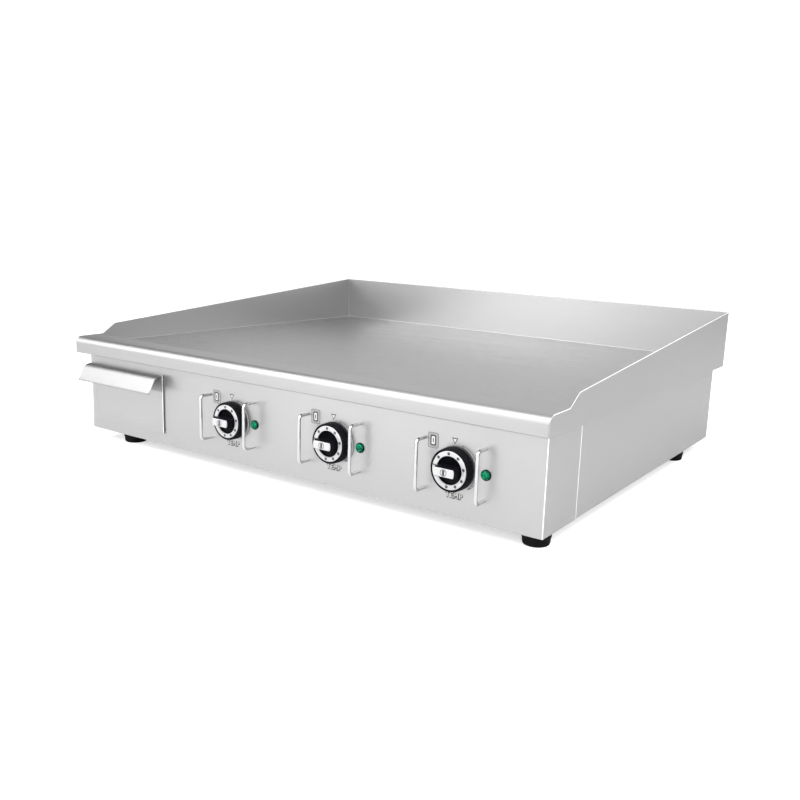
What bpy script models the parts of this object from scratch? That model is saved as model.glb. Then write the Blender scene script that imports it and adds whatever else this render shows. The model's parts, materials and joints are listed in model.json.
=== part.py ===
"""Countertop electric griddle: a bent-sheet body, a flat steel plate between welded splash guards, three
heating zones with a thermostat knob and a pilot lamp each, a front grease trough and a drip drawer.

Metres, +Z up. X runs along the front, the front faces -Y, and the origin is on the table, under the middle of
the whole object. Run it with Blender, in the background or from the text editor.
"""

import math

import bmesh
import bpy
from mathutils import Matrix, Vector

# Driving dimensions. Heights named *_H are above the body's bottom edge, and depths named *_D are behind the
# front panel's face, so a negative depth stands in front of it.
BODY_WIDTH = 0.900
BODY_DEPTH = 0.702
FOOT_HEIGHT = 0.020
SKIRT_H = 0.136
PLATE_TOP_H = 0.149
PLATE_THICKNESS = 0.0115
GUARD_REAR_H = 0.240
SIDE_OVERHANG = 0.010
NOSING_REACH = 0.021
REAR_OVERHANG = 0.031
HANDLE_REACH = 0.032
PANEL_RETURN_D = 0.100

SHEET = 0.0012
NOSING_SHEET = 0.0015
GUARD_SHEET = 0.002
GAP = 0.0003

ZONES = 3
ZONE_PITCH = 0.300
KNOB_PITCH = 0.206
MIDDLE_KNOB_X = 0.1105
KNOB_H = 0.068
KNOB_RADIUS = 0.0295
RING_RADII = (0.0190, 0.0267)
DIAL_FACE = 0.0135
DISH_FACE = 0.0095
BAR_TOP = 0.0255
BAR_HALF = (0.0166, 0.0068)
CAP_HALF = (0.0156, 0.0057)
CAP_THICKNESS = 0.0022
SPINDLE_RADIUS = 0.0030
THERMOSTAT_HALF = 0.020
LAMP_OFFSET_X = 0.048
LENS_RADIUS = 0.0075
WIRE_RADIUS = 0.0025
WIRE_OFFSET_X = 0.047
WIRE_HEIGHT = 0.070
WIRE_REACH = 0.0225

DRAWER_LEFT_X = -0.4425
DRAWER_RIGHT_X = -0.256
DRAWER_BOTTOM_H = 0.0195
DRAWER_TOP_H = 0.1185
DRAWER_FACE_D = (-0.0032, -0.0004)
DRAWER_OVERLAP = 0.003
HANDLE_BOTTOM_H = 0.091
TRAY_LENGTH = 0.320
TRAY_BOTTOM_H = 0.0245
TRAY_TOP_H = 0.085
RUNNER_X = (-0.4465, -0.2475)
RUNNER_FOOT = 0.013
RUNNER_LEDGE = 0.020
DRAIN_X = -0.350
DRAIN_RADIUS = 0.0125

NOSING_TOP_H = 0.164
NOSING_BACK_D = 0.033
NOSING_BEND = 0.0110
STEP_D = (0.034, 0.060)
STEP_H = (0.1652, 0.182)
TROUGH_D = (0.0331, 0.0660)
TROUGH_BOTTOM_H = 0.122
PLATE_FRONT_D = 0.062
ELEMENT_RADIUS = 0.004
ELEMENT_BEND = 0.034
SHIELD_D = (0.092, 0.690)
SHIELD_H = (0.103, 0.127)
FOOT_X = (-0.376, 0.425)
FOOT_D = (0.034, 0.577)
FOOT_RADIUS = 0.020
STUD_RADIUS = 0.004
STUD_TOP_H = 0.012
GLAND_X = 0.380
GLAND_H = 0.040
GLAND_HOLE = 0.0100

# What follows from them.
HALF_WIDTH = BODY_WIDTH / 2
GUARD_OUTER_X = HALF_WIDTH + SIDE_OVERHANG
GUARD_INNER_X = GUARD_OUTER_X - GUARD_SHEET
DECK_HALF = GUARD_INNER_X - GAP
REAR_D = BODY_DEPTH + REAR_OVERHANG
FRONT_Y = HANDLE_REACH - (HANDLE_REACH + REAR_D) / 2
PLATE_BOTTOM_H = PLATE_TOP_H - PLATE_THICKNESS
FRAME_TOP_H = PLATE_BOTTOM_H - GAP
FRAME_BOTTOM_H = FRAME_TOP_H - SHEET
SHELL_TOP_H = FRAME_BOTTOM_H - GAP
FLOOR_H = SHEET + GAP
KNOB_X = [MIDDLE_KNOB_X + (i - 1) * KNOB_PITCH for i in range(ZONES)]
ZONE_X = [(i - 1) * ZONE_PITCH for i in range(ZONES)]


def at(x, depth, height):
    """A point from its X, its depth behind the front panel's face and its height above the body's bottom."""
    return Vector((x, FRONT_Y + depth, FOOT_HEIGHT + height))


# Materials


def finish(name, colour, roughness, metallic):
    made = bpy.data.materials.new(name)
    made.use_nodes = True
    shader = made.node_tree.nodes["Principled BSDF"]
    shader.inputs["Base Color"].default_value = (*colour, 1)
    shader.inputs["Roughness"].default_value = roughness
    shader.inputs["Metallic"].default_value = metallic
    return made


def make_finishes():
    return {
        "steel": finish("brushed_steel", (0.62, 0.62, 0.62), 0.34, 1),
        "nosing": finish("polished_steel", (0.70, 0.70, 0.70), 0.22, 1),
        "plate": finish("ground_plate_steel", (0.45, 0.45, 0.45), 0.38, 1),
        "chrome": finish("chrome", (0.85, 0.85, 0.86), 0.08, 1),
        "black": finish("black_phenolic", (0.012, 0.012, 0.014), 0.30, 0),
        "lens": finish("green_lens", (0.0, 0.30, 0.14), 0.12, 0),
        "rubber": finish("black_rubber", (0.010, 0.010, 0.010), 0.65, 0),
        "element": finish("element_sheath", (0.16, 0.15, 0.14), 0.55, 1),
        "fibre": finish("ceramic_fibre", (0.80, 0.79, 0.75), 0.95, 0),
        "plastic": finish("grey_plastic", (0.30, 0.30, 0.30), 0.50, 0),
    }


# Modelling helpers


def add_mesh(name, bm, material, parent=None, smooth=False):
    """A named object from a bmesh in world coordinates. Its origin is its parent's, or the world's."""
    if parent:
        bmesh.ops.translate(bm, verts=bm.verts, vec=-parent.location)
    mesh = bpy.data.meshes.new(name)
    bm.to_mesh(mesh)
    bm.free()
    obj = bpy.data.objects.new(name, mesh)
    bpy.context.scene.collection.objects.link(obj)
    obj.parent = parent
    if material:
        mesh.materials.append(material)
    if smooth:
        mesh.shade_smooth()
        mesh.set_sharp_from_angle(angle=math.radians(40))
    return obj


def bevel(obj, width, segments=1):
    made = obj.modifiers.new("Bevel", "BEVEL")
    made.width = width
    made.segments = segments
    made.limit_method = "ANGLE"
    made.angle_limit = math.radians(40)
    return obj


def boolean(obj, bm, operation):
    """Cuts bm from the object, or joins it on, with a hidden helper."""
    helper = add_mesh(f"{obj.name}_{operation.lower()}", bm, None, obj.parent)
    helper.hide_render = True
    helper.display_type = "WIRE"
    made = obj.modifiers.new(operation.title(), "BOOLEAN")
    made.operation = operation
    made.object = helper
    return obj


def add_box(bm, low, high):
    low = Vector(low)
    high = Vector(high)
    place = Matrix.Translation((low + high) / 2) @ Matrix.Diagonal((*(high - low), 1))
    bmesh.ops.create_cube(bm, size=1, matrix=place)


def box(name, low, high, material, parent=None):
    bm = bmesh.new()
    add_box(bm, low, high)
    return add_mesh(name, bm, material, parent)


def add_rod(bm, start, end, radius, segments):
    """A solid round rod between two points."""
    along = end - start
    turn = Vector((0, 0, 1)).rotation_difference(along).to_matrix().to_4x4()
    place = Matrix.Translation((start + end) / 2) @ turn
    bmesh.ops.create_cone(
        bm, cap_ends=True, segments=segments, radius1=radius, radius2=radius, depth=along.length, matrix=place
    )


def add_prism(bm, corners, along):
    """Extrudes a flat outline of 3-D corners by a vector."""
    face = bm.faces.new([bm.verts.new(corner) for corner in corners])
    moved = bmesh.ops.extrude_face_region(bm, geom=[face])["geom"]
    verts = [item for item in moved if isinstance(item, bmesh.types.BMVert)]
    bmesh.ops.translate(bm, verts=verts, vec=along)
    bmesh.ops.recalc_face_normals(bm, faces=bm.faces)


def prism(name, corners, along, material, parent=None):
    bm = bmesh.new()
    add_prism(bm, corners, along)
    return add_mesh(name, bm, material, parent, smooth=True)


def rounded(points, radius, steps=4):
    """The path with each inner corner replaced by an arc, of one radius or of one for each inner corner."""
    points = [Vector(point) for point in points]
    radii = [radius] * (len(points) - 2) if isinstance(radius, float) else radius
    path = [points[0]]
    for before, corner, after, bend in zip(points, points[1:], points[2:], radii):
        back = (before - corner).normalized()
        on = (after - corner).normalized()
        half = back.angle(on) / 2
        centre = corner + (back + on).normalized() * bend / math.sin(half)
        first = (corner + back * bend / math.tan(half) - centre).normalized()
        last = (corner + on * bend / math.tan(half) - centre).normalized()
        path += [centre + first.slerp(last, i / steps) * bend for i in range(steps + 1)]
    return path + [points[-1]]


def bent_sheet(path, thickness):
    """The closed outline of a sheet whose one face follows a 2-D path, the other on the path's left."""
    ways = [(b - a).normalized() for a, b in zip(path, path[1:])]
    lefts = [Vector((-way.y, way.x)) for way in ways]
    other = [path[0] + lefts[0] * thickness]
    for point, a, b in zip(path[1:], lefts, lefts[1:]):
        other.append(point + (a + b) * thickness / (1 + a.dot(b)))
    other.append(path[-1] + lefts[-1] * thickness)
    return path + other[::-1]


def turned(name, profile, centre, axis, material, segments=24, parent=None):
    """Turns a closed (radius, height) profile round an axis through centre."""
    bm = bmesh.new()
    turn = Vector((0, 0, 1)).rotation_difference(Vector(axis)).to_matrix()
    verts = [bm.verts.new(centre + turn @ Vector((radius, 0, height))) for radius, height in profile]
    edges = [bm.edges.new(pair) for pair in zip(verts, verts[1:] + verts[:1])]
    bmesh.ops.spin(
        bm,
        geom=verts + edges,
        cent=centre,
        axis=axis,
        angle=math.tau,
        steps=segments,
        use_merge=True,
        use_duplicate=False,
    )
    bmesh.ops.remove_doubles(bm, verts=bm.verts, dist=1e-6)
    bmesh.ops.dissolve_degenerate(bm, edges=bm.edges, dist=1e-6)
    bmesh.ops.recalc_face_normals(bm, faces=bm.faces)
    return add_mesh(name, bm, material, parent, smooth=True)


def wire(name, points, radius, material, resolution=2, thick_after=None, thick=0):
    """A round wire along points, with closed ends. After point thick_after it swells to the radius thick."""
    curve = bpy.data.curves.new(name, "CURVE")
    curve.dimensions = "3D"
    curve.bevel_depth = radius
    curve.bevel_resolution = resolution
    curve.use_fill_caps = True
    curve.twist_mode = "MINIMUM"
    curve.materials.append(material)
    spline = curve.splines.new("POLY")
    spline.points.add(len(points) - 1)
    for i, (target, point) in enumerate(zip(spline.points, points)):
        target.co = (*point, 1)
        if thick_after is not None and i > thick_after:
            target.radius = thick / radius
    obj = bpy.data.objects.new(name, curve)
    bpy.context.scene.collection.objects.link(obj)
    return obj


def open_tray(name, low, high, thickness, material, parent=None):
    """A sheet tray with no top, whose outer size is low to high."""
    bm = bmesh.new()
    add_box(bm, low, high)
    bmesh.ops.delete(bm, geom=[face for face in bm.faces if face.normal.z > 0.5], context="FACES_ONLY")
    obj = add_mesh(name, bm, material, parent)
    wall = obj.modifiers.new("Solidify", "SOLIDIFY")
    wall.thickness = thickness
    wall.offset = -1
    wall.use_even_offset = True
    return obj


def add_slot(bm, centre, long_way, half_length, radius, through, steps=4):
    """A cutter for a slot with round ends, along long_way, cut through the sheet by the vector through."""
    across = through.normalized().cross(long_way)
    corners = []
    for side in (1, -1):
        for i in range(steps + 1):
            angle = math.pi * i / steps - math.pi / 2
            reach = half_length - radius + radius * math.cos(angle)
            reach_across = radius * math.sin(angle)
            corners.append(centre - through / 2 + side * (long_way * reach + across * reach_across))
    add_prism(bm, corners, through)


def empty_at(name, location):
    made = bpy.data.objects.new(name, None)
    made.location = location
    made.empty_display_size = 0.02
    bpy.context.scene.collection.objects.link(made)
    return made


# Body shell


def front_panel(finishes):
    """One sheet: the front and its returns round both corners, with a flange along its top and its bottom."""
    bend = 0.0025
    path = [
        (-HALF_WIDTH, PANEL_RETURN_D),
        (-HALF_WIDTH, 0),
        (HALF_WIDTH, 0),
        (HALF_WIDTH, PANEL_RETURN_D),
    ]
    outline = bent_sheet(rounded(path, bend, 3), SHEET)
    corners = [at(point.x, point.y, 0) for point in outline]
    obj = prism("front_panel", corners, Vector((0, 0, SHELL_TOP_H)), finishes["steel"])
    flange_d = 0.012
    flange_half = HALF_WIDTH - 0.004
    flange_inset = 0.0001
    for low_h in (flange_inset, SHELL_TOP_H - flange_inset - SHEET):
        flange = bmesh.new()
        add_box(flange, at(-flange_half, SHEET / 2, low_h), at(flange_half, flange_d, low_h + SHEET))
        boolean(obj, flange, "UNION")
    return boolean(obj, front_panel_holes(), "DIFFERENCE")


def front_panel_holes():
    """The drawer's opening, and a hole for each spindle, lamp and wire guard's end."""
    through = Vector((0, 0.01, 0))
    spindle_hole = 0.0040
    lamp_hole = 0.0060
    bm = bmesh.new()
    add_box(
        bm,
        at(DRAWER_LEFT_X + DRAWER_OVERLAP, 0, DRAWER_BOTTOM_H + DRAWER_OVERLAP) - through,
        at(DRAWER_RIGHT_X - DRAWER_OVERLAP, 0, DRAWER_TOP_H - DRAWER_OVERLAP) + through,
    )
    for x in KNOB_X:
        centre = at(x, 0, KNOB_H)
        add_rod(bm, centre - through, centre + through, spindle_hole, 12)
        lamp = at(x + LAMP_OFFSET_X, 0, KNOB_H)
        add_rod(bm, lamp - through, lamp + through, lamp_hole, 16)
        for side in (-1, 1):
            for end in (-1, 1):
                post = at(x + side * WIRE_OFFSET_X, 0, KNOB_H + end * WIRE_HEIGHT / 2)
                add_rod(bm, post - through, post + through, WIRE_RADIUS + GAP, 12)
    return bm


def side_panel(name, side, finishes):
    """A sheet behind the front panel's return, with a flange in at its top and its bottom."""
    x = side * HALF_WIDTH
    top_flange = 0.018
    bottom_flange = 0.015
    path = [
        (side * (HALF_WIDTH - top_flange), SHELL_TOP_H),
        (x, SHELL_TOP_H),
        (x, 0),
        (side * (HALF_WIDTH - bottom_flange), 0),
    ]
    outline = bent_sheet(rounded(path, 0.002, 3), -side * SHEET)
    start = PANEL_RETURN_D + GAP * 2
    corners = [at(point.x, start, point.y) for point in outline]
    return prism(name, corners, Vector((0, BODY_DEPTH - start, 0)), finishes["steel"])


def rear_panel(finishes):
    """A flat sheet between the side panels, with vent slots and the cable gland's hole."""
    half = HALF_WIDTH - SHEET - GAP
    obj = box(
        "rear_panel",
        at(-half, BODY_DEPTH - SHEET, FLOOR_H + SHEET + GAP),
        at(half, BODY_DEPTH, SHELL_TOP_H - SHEET - GAP),
        finishes["steel"],
    )
    through = Vector((0, 0.01, 0))
    slots = 7
    slot_pitch = 0.016
    group_x = 0.200
    slot_h = 0.070
    bm = bmesh.new()
    for group in (-1, 1):
        for i in range(slots):
            slot = at(group * group_x + (i - (slots - 1) / 2) * slot_pitch, BODY_DEPTH, slot_h)
            add_slot(bm, slot, Vector((0, 0, 1)), 0.026, 0.003, through)
    gland = at(GLAND_X, BODY_DEPTH, GLAND_H)
    add_rod(bm, gland - through / 2, gland + through / 2, GLAND_HOLE, 16)
    return boolean(obj, bm, "DIFFERENCE")


def base_plate(finishes):
    """The floor of the body, with two rows of vent slots and a hole for each foot's stud."""
    half = HALF_WIDTH - SHEET - GAP
    low = at(-half, 2 * FLOOR_H, FLOOR_H)
    high = at(half, BODY_DEPTH - FLOOR_H, FLOOR_H + SHEET)
    obj = box("base_plate", low, high, finishes["steel"])
    through = Vector((0, 0, 0.01))
    first_x = -0.150
    slot_pitch = 0.090
    bm = bmesh.new()
    for depth in (0.250, 0.450):
        for i in range(6):
            slot = at(first_x + i * slot_pitch, depth, FLOOR_H)
            add_slot(bm, slot, Vector((0, 1, 0)), 0.045, 0.003, through)
    for centre in foot_centres().values():
        add_rod(bm, centre - through, centre + through * 2, STUD_RADIUS + 0.0005, 12)
    return boolean(obj, bm, "DIFFERENCE")


def foot_centres():
    """Where each foot's top meets the body's bottom. The left pair stands further in than the right one."""
    return {
        f"foot_{end}_{side}": at(x, depth, 0)
        for side, x in zip(("left", "right"), FOOT_X)
        for end, depth in zip(("front", "rear"), FOOT_D)
    }


def feet(finishes):
    """Rubber feet, each moulded on a stud that stands through the base plate."""
    sole = FOOT_RADIUS - 0.0035
    profile = [
        (0, STUD_TOP_H),
        (0, -FOOT_HEIGHT),
        (sole, -FOOT_HEIGHT),
        (sole + 0.0018, 0.0012 - FOOT_HEIGHT),
        (sole + 0.0024, 0.0034 - FOOT_HEIGHT),
        (FOOT_RADIUS, -0.003),
        (FOOT_RADIUS, -GAP),
        (STUD_RADIUS, -GAP),
        (STUD_RADIUS, STUD_TOP_H),
    ]
    for name, centre in foot_centres().items():
        turned(name, profile, centre, (0, 0, 1), finishes["rubber"], 20)


# Deck: what is welded round the plate


def front_nosing(finishes):
    """A bent sheet with a rounded front top edge, a flat top and a flange down to the trough."""
    fall = 0.0015
    tight = 0.0020
    path = [
        (-2 * GAP, SKIRT_H),
        (-NOSING_REACH, SKIRT_H),
        (-NOSING_REACH, NOSING_TOP_H),
        (NOSING_BACK_D, NOSING_TOP_H - fall),
        (NOSING_BACK_D, PLATE_BOTTOM_H),
    ]
    outline = bent_sheet(rounded(path, [tight, NOSING_BEND, tight], 6), -NOSING_SHEET)
    corners = [at(-DECK_HALF, point.x, point.y) for point in outline]
    return prism("front_nosing", corners, Vector((2 * DECK_HALF, 0, 0)), finishes["nosing"])


def splash_guard_side(name, side, finishes):
    """A plate flush with the nosing's end: it steps up behind the nosing and rises to the rear guard."""
    front = [(-NOSING_REACH, SKIRT_H), (-NOSING_REACH, NOSING_TOP_H + 0.0005), (STEP_D[0], STEP_H[0])]
    path = rounded(front, NOSING_BEND, 6) + [
        Vector((STEP_D[1], STEP_H[1])),
        Vector((REAR_D, GUARD_REAR_H)),
        Vector((REAR_D, SKIRT_H)),
    ]
    corners = [at(side * GUARD_INNER_X, point.x, point.y) for point in path]
    obj = prism(name, corners, Vector((side * GUARD_SHEET, 0, 0)), finishes["steel"])
    return bevel(obj, 0.0004)


def splash_guard_rear(finishes):
    obj = box(
        "splash_guard_rear",
        at(-DECK_HALF, REAR_D - GUARD_SHEET, SKIRT_H),
        at(DECK_HALF, REAR_D, GUARD_REAR_H),
        finishes["steel"],
    )
    return bevel(obj, 0.0004)


def griddle_plate(finishes):
    obj = box(
        "griddle_plate",
        at(-DECK_HALF, PLATE_FRONT_D, PLATE_BOTTOM_H),
        at(DECK_HALF, REAR_D - GUARD_SHEET - GAP, PLATE_TOP_H),
        finishes["plate"],
    )
    return bevel(obj, 0.0008, 2)


def support_frame(finishes):
    """A flat frame on the body's top flanges, under the plate's edges and the nosing."""
    obj = box(
        "support_frame",
        at(-DECK_HALF, 0.0015, FRAME_BOTTOM_H),
        at(DECK_HALF, REAR_D - GUARD_SHEET - GAP, FRAME_TOP_H),
        finishes["steel"],
    )
    half = HALF_WIDTH - 0.003
    through = Vector((0, 0, 0.01))
    low = at(-half, TROUGH_D[0] - 2 * GAP, FRAME_BOTTOM_H)
    high = at(half, SHIELD_D[1] + GAP, FRAME_TOP_H)
    bm = bmesh.new()
    add_box(bm, low - through, high + through)
    return boolean(obj, bm, "DIFFERENCE")


def grease_trough(finishes):
    """A gutter between the nosing and the plate, with a drain hole above the drip drawer."""
    half = HALF_WIDTH - 0.004
    obj = open_tray(
        "grease_trough",
        at(-half, TROUGH_D[0], TROUGH_BOTTOM_H),
        at(half, TROUGH_D[1], FRAME_TOP_H - SHEET / 2),
        SHEET,
        finishes["steel"],
    )
    drain = at(DRAIN_X, sum(TROUGH_D) / 2, TROUGH_BOTTOM_H)
    through = Vector((0, 0, 0.01))
    bm = bmesh.new()
    add_rod(bm, drain - through, drain + through, DRAIN_RADIUS, 20)
    return boolean(obj, bm, "DIFFERENCE")


def drain_spout(finishes):
    """A flanged tube under the drain hole, ending above the tray."""
    flange_h = TROUGH_BOTTOM_H - GAP
    end_h = TRAY_TOP_H + 0.007
    wall = 0.0015
    flange = 0.0035
    profile = [
        (DRAIN_RADIUS, flange_h),
        (DRAIN_RADIUS, end_h),
        (DRAIN_RADIUS + wall, end_h),
        (DRAIN_RADIUS + wall, flange_h - wall),
        (DRAIN_RADIUS + flange, flange_h - wall),
        (DRAIN_RADIUS + flange, flange_h),
    ]
    turned("drain_spout", profile, at(DRAIN_X, sum(TROUGH_D) / 2, 0), (0, 0, 1), finishes["steel"], 20)


# Heating


def heating_element(i, finishes):
    """A tubular element: four legs along the plate's underside, and two ends bent down at the front."""
    height = PLATE_BOTTOM_H - GAP - ELEMENT_RADIUS
    front_d = 0.082
    turn_d = (0.125, 0.665)
    end_h = 0.108
    legs = [ZONE_X[i] + (j - 1.5) * 2 * ELEMENT_BEND for j in range(4)]
    path = [
        at(legs[0], front_d, end_h),
        at(legs[0], front_d, height),
        at(legs[0], turn_d[1], height),
        at(legs[1], turn_d[1], height),
        at(legs[1], turn_d[0], height),
        at(legs[2], turn_d[0], height),
        at(legs[2], turn_d[1], height),
        at(legs[3], turn_d[1], height),
        at(legs[3], front_d, height),
        at(legs[3], front_d, end_h),
    ]
    down_bend = 0.008
    bends = [down_bend] + [ELEMENT_BEND * 0.95] * 6 + [down_bend]
    wire(f"heating_element_{i + 1}", rounded(path, bends, 4), ELEMENT_RADIUS, finishes["element"], 1)


def heat_shield(finishes):
    """A sheet tray under the elements, and the blanket that lies in it."""
    half = HALF_WIDTH - 0.010
    low = at(-half, SHIELD_D[0], SHIELD_H[0])
    high = at(half, SHIELD_D[1], SHIELD_H[1])
    open_tray("heat_shield_tray", low, high, SHEET, finishes["steel"])
    inner = SHEET + GAP
    box(
        "insulation_blanket",
        at(inner - half, SHIELD_D[0] + inner, SHIELD_H[0] + inner),
        at(half - inner, SHIELD_D[1] - inner, SHIELD_H[1] - GAP),
        finishes["fibre"],
    )


def thermostat(i, finishes):
    """A switch body behind the panel, with a bore for the knob's spindle and a neck up to the panel."""
    half = THERMOSTAT_HALF
    start_d = 0.010
    neck_radius = 0.009
    centre = at(KNOB_X[i], 0, KNOB_H)
    inward = Vector((0, 1, 0))
    obj = box(
        f"thermostat_{i + 1}",
        centre + Vector((-half, start_d, -half)),
        centre + Vector((half, start_d + 0.032, half)),
        finishes["plastic"],
    )
    bevel(obj, 0.002)
    neck = bmesh.new()
    neck_end = centre + inward * (start_d + 0.004)
    add_rod(neck, centre + inward * (SHEET + GAP), neck_end, neck_radius, 16)
    boolean(obj, neck, "UNION")
    bore = bmesh.new()
    add_rod(bore, centre - inward * 0.002, centre + inward * 0.020, SPINDLE_RADIUS + 2 * GAP, 12)
    return boolean(obj, bore, "DIFFERENCE")


def capillary_bulb(i, finishes):
    """The thin tube, run between two legs of its element, where it swells into the sensing bulb."""
    radius = 0.001
    bulb_radius = 0.0028
    height = PLATE_BOTTOM_H - GAP - bulb_radius
    leave_d = 0.030
    run_d = 0.078
    run_h = KNOB_H + 0.029
    bulb_d = (0.250, 0.254, 0.366)
    bulb_x = ZONE_X[i] + 2 * ELEMENT_BEND
    path = [
        at(KNOB_X[i], leave_d, KNOB_H + THERMOSTAT_HALF + GAP),
        at(KNOB_X[i], leave_d, run_h),
        at(KNOB_X[i], run_d, run_h),
        at(bulb_x, run_d, run_h),
        at(bulb_x, run_d, height),
        at(bulb_x, bulb_d[0], height),
    ]
    points = rounded(path, 0.006, 3)
    bulb = [at(bulb_x, depth, height) for depth in bulb_d[1:]]
    name = f"capillary_bulb_{i + 1}"
    wire(name, points + bulb, radius, finishes["chrome"], 1, len(points) - 1, bulb_radius)


def pilot_lamp(i, finishes):
    """A green lens on the panel, and behind it the lamp's body with its nut."""
    centre = at(KNOB_X[i] + LAMP_OFFSET_X, 0, KNOB_H)
    outward = (0, -1, 0)
    rim_h = 0.0012
    dome_h = rim_h + 0.0004
    dome_radius = 0.0062
    dome_rise = 0.0040
    lens = [(0, GAP), (LENS_RADIUS, GAP), (LENS_RADIUS, rim_h), (LENS_RADIUS - 0.0005, dome_h)]
    for angle in (0, math.pi / 6, math.pi / 3):
        lens.append((dome_radius * math.cos(angle), dome_h + dome_rise * math.sin(angle)))
    lens.append((0, dome_h + dome_rise))
    turned(f"pilot_lens_{i + 1}", lens, centre, outward, finishes["lens"], 16)
    front_h = -0.0001
    nut_h = -SHEET - GAP
    nut_back_h = nut_h - 0.003
    end_h = -0.028
    barrel_radius = 0.0055
    nut_radius = 0.0085
    body = [
        (0, front_h),
        (0, end_h),
        (barrel_radius, end_h),
        (barrel_radius, nut_back_h),
        (nut_radius, nut_back_h),
        (nut_radius, nut_h),
        (barrel_radius, nut_h),
        (barrel_radius, front_h),
    ]
    turned(f"pilot_lamp_body_{i + 1}", body, centre, outward, finishes["plastic"], 12)


# Controls


def knob(i, finishes):
    """A dial with a grip bar across it, a bright ring in its face, a cap on the bar, and the spindle."""
    axis = at(KNOB_X[i], 0, KNOB_H)
    parent = empty_at(f"knob_{i + 1}_axis", axis)
    outward = Vector((0, -1, 0))
    number = f"knob_{i + 1}"
    back = 0.0015
    seat = DIAL_FACE - 0.0006
    chamfer = 0.0006
    ring_top = DIAL_FACE + 0.0009
    dish_radius = RING_RADII[0] - chamfer
    spindle_front = 0.0112
    spindle_back = 0.0150
    dial = [
        (0, back),
        (KNOB_RADIUS, back),
        (KNOB_RADIUS, 2 * back),
        (KNOB_RADIUS - chamfer, DIAL_FACE - 2 * chamfer),
        (KNOB_RADIUS - 2 * chamfer, DIAL_FACE),
        (RING_RADII[1] + GAP, DIAL_FACE),
        (RING_RADII[1] + GAP, seat),
        (dish_radius, seat),
        (dish_radius, DISH_FACE),
        (0, DISH_FACE),
    ]
    dial_obj = turned(f"{number}_dial", dial, axis, outward, finishes["black"], 32, parent)
    bar_low = DISH_FACE - 0.001
    bar = bmesh.new()
    add_prism(bar, bar_outline(axis + outward * bar_low, *BAR_HALF), outward * (BAR_TOP - bar_low))
    bore = bmesh.new()
    bore_end = axis + outward * (spindle_front + GAP)
    add_rod(bore, axis + outward * back / 3, bore_end, SPINDLE_RADIUS + GAP, 12)
    boolean(dial_obj, bar, "UNION")
    boolean(dial_obj, bore, "DIFFERENCE")
    ring = [
        (RING_RADII[0], seat + GAP),
        (RING_RADII[1], seat + GAP),
        (RING_RADII[1] - 0.0004, ring_top),
        (RING_RADII[0] + 0.0004, ring_top),
    ]
    turned(f"{number}_ring", ring, axis, outward, finishes["chrome"], 32, parent)
    cap = bmesh.new()
    add_prism(cap, bar_outline(axis + outward * (BAR_TOP + GAP), *CAP_HALF), outward * CAP_THICKNESS)
    bevel(add_mesh(f"{number}_cap", cap, finishes["chrome"], parent), 0.0006)
    spindle = bmesh.new()
    add_rod(spindle, axis - outward * spindle_back, axis + outward * spindle_front, SPINDLE_RADIUS, 12)
    add_mesh(f"{number}_spindle", spindle, finishes["chrome"], parent, smooth=True)


def bar_outline(centre, half_length, half_width):
    """A bar with ends that follow the circle of its half length."""
    reach = math.asin(half_width / half_length)
    angles = [reach * (j / 3 - 1) for j in range(7)]
    one_end = [Vector((half_length * math.cos(a), 0, half_length * math.sin(a))) for a in angles]
    return [centre + point for point in one_end] + [centre - point for point in one_end]


def knob_guards(i, finishes):
    """A U of bright wire on each side of the knob, its ends through the panel."""
    behind_d = 0.007
    bend = 0.006
    high = KNOB_H + WIRE_HEIGHT / 2
    low = KNOB_H - WIRE_HEIGHT / 2
    for side, word in ((-1, "left"), (1, "right")):
        x = KNOB_X[i] + side * WIRE_OFFSET_X
        path = [
            at(x, behind_d, high),
            at(x, -WIRE_REACH, high),
            at(x, -WIRE_REACH, low),
            at(x, behind_d, low),
        ]
        wire(f"knob_guard_{i + 1}_{word}", rounded(path, bend, 5), WIRE_RADIUS, finishes["chrome"])


# Drip drawer


def drip_drawer(finishes):
    """A shallow face pan over the opening's edges, the tray behind it, and a handle bent over its top."""
    parent = empty_at("drip_drawer_slide", at((DRAWER_LEFT_X + DRAWER_RIGHT_X) / 2, 0, DRAWER_BOTTOM_H))
    front_d, back_d = DRAWER_FACE_D
    face = box(
        "drawer_front",
        at(DRAWER_LEFT_X, front_d, DRAWER_BOTTOM_H),
        at(DRAWER_RIGHT_X, back_d, DRAWER_TOP_H),
        finishes["steel"],
        parent,
    )
    hollow = bmesh.new()
    low = at(DRAWER_LEFT_X + SHEET, front_d + SHEET, DRAWER_BOTTOM_H + SHEET)
    high = at(DRAWER_RIGHT_X - SHEET, back_d + SHEET, DRAWER_TOP_H - SHEET)
    add_box(hollow, low, high)
    boolean(face, hollow, "DIFFERENCE")
    tray_d = front_d + SHEET + GAP
    tray_inset = DRAWER_OVERLAP + 0.002
    open_tray(
        "drawer_tray",
        at(DRAWER_LEFT_X + tray_inset, tray_d, TRAY_BOTTOM_H),
        at(DRAWER_RIGHT_X - tray_inset, tray_d + TRAY_LENGTH, TRAY_TOP_H),
        SHEET,
        finishes["steel"],
        parent,
    )
    flange_d = front_d - GAP
    shoulder = (-0.0175, DRAWER_TOP_H - 0.0020)
    waist = (-0.0262, 0.0990)
    path = [
        (flange_d, HANDLE_BOTTOM_H),
        (flange_d, DRAWER_TOP_H),
        shoulder,
        waist,
        (-HANDLE_REACH, HANDLE_BOTTOM_H),
    ]
    outline = bent_sheet(rounded(path, [0.002, 0.012, 0.008], 5), SHEET)
    corners = [at(DRAWER_LEFT_X, point.x, point.y) for point in outline]
    along = Vector((DRAWER_RIGHT_X - DRAWER_LEFT_X, 0, 0))
    prism("drawer_handle", corners, along, finishes["nosing"], parent)


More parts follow.
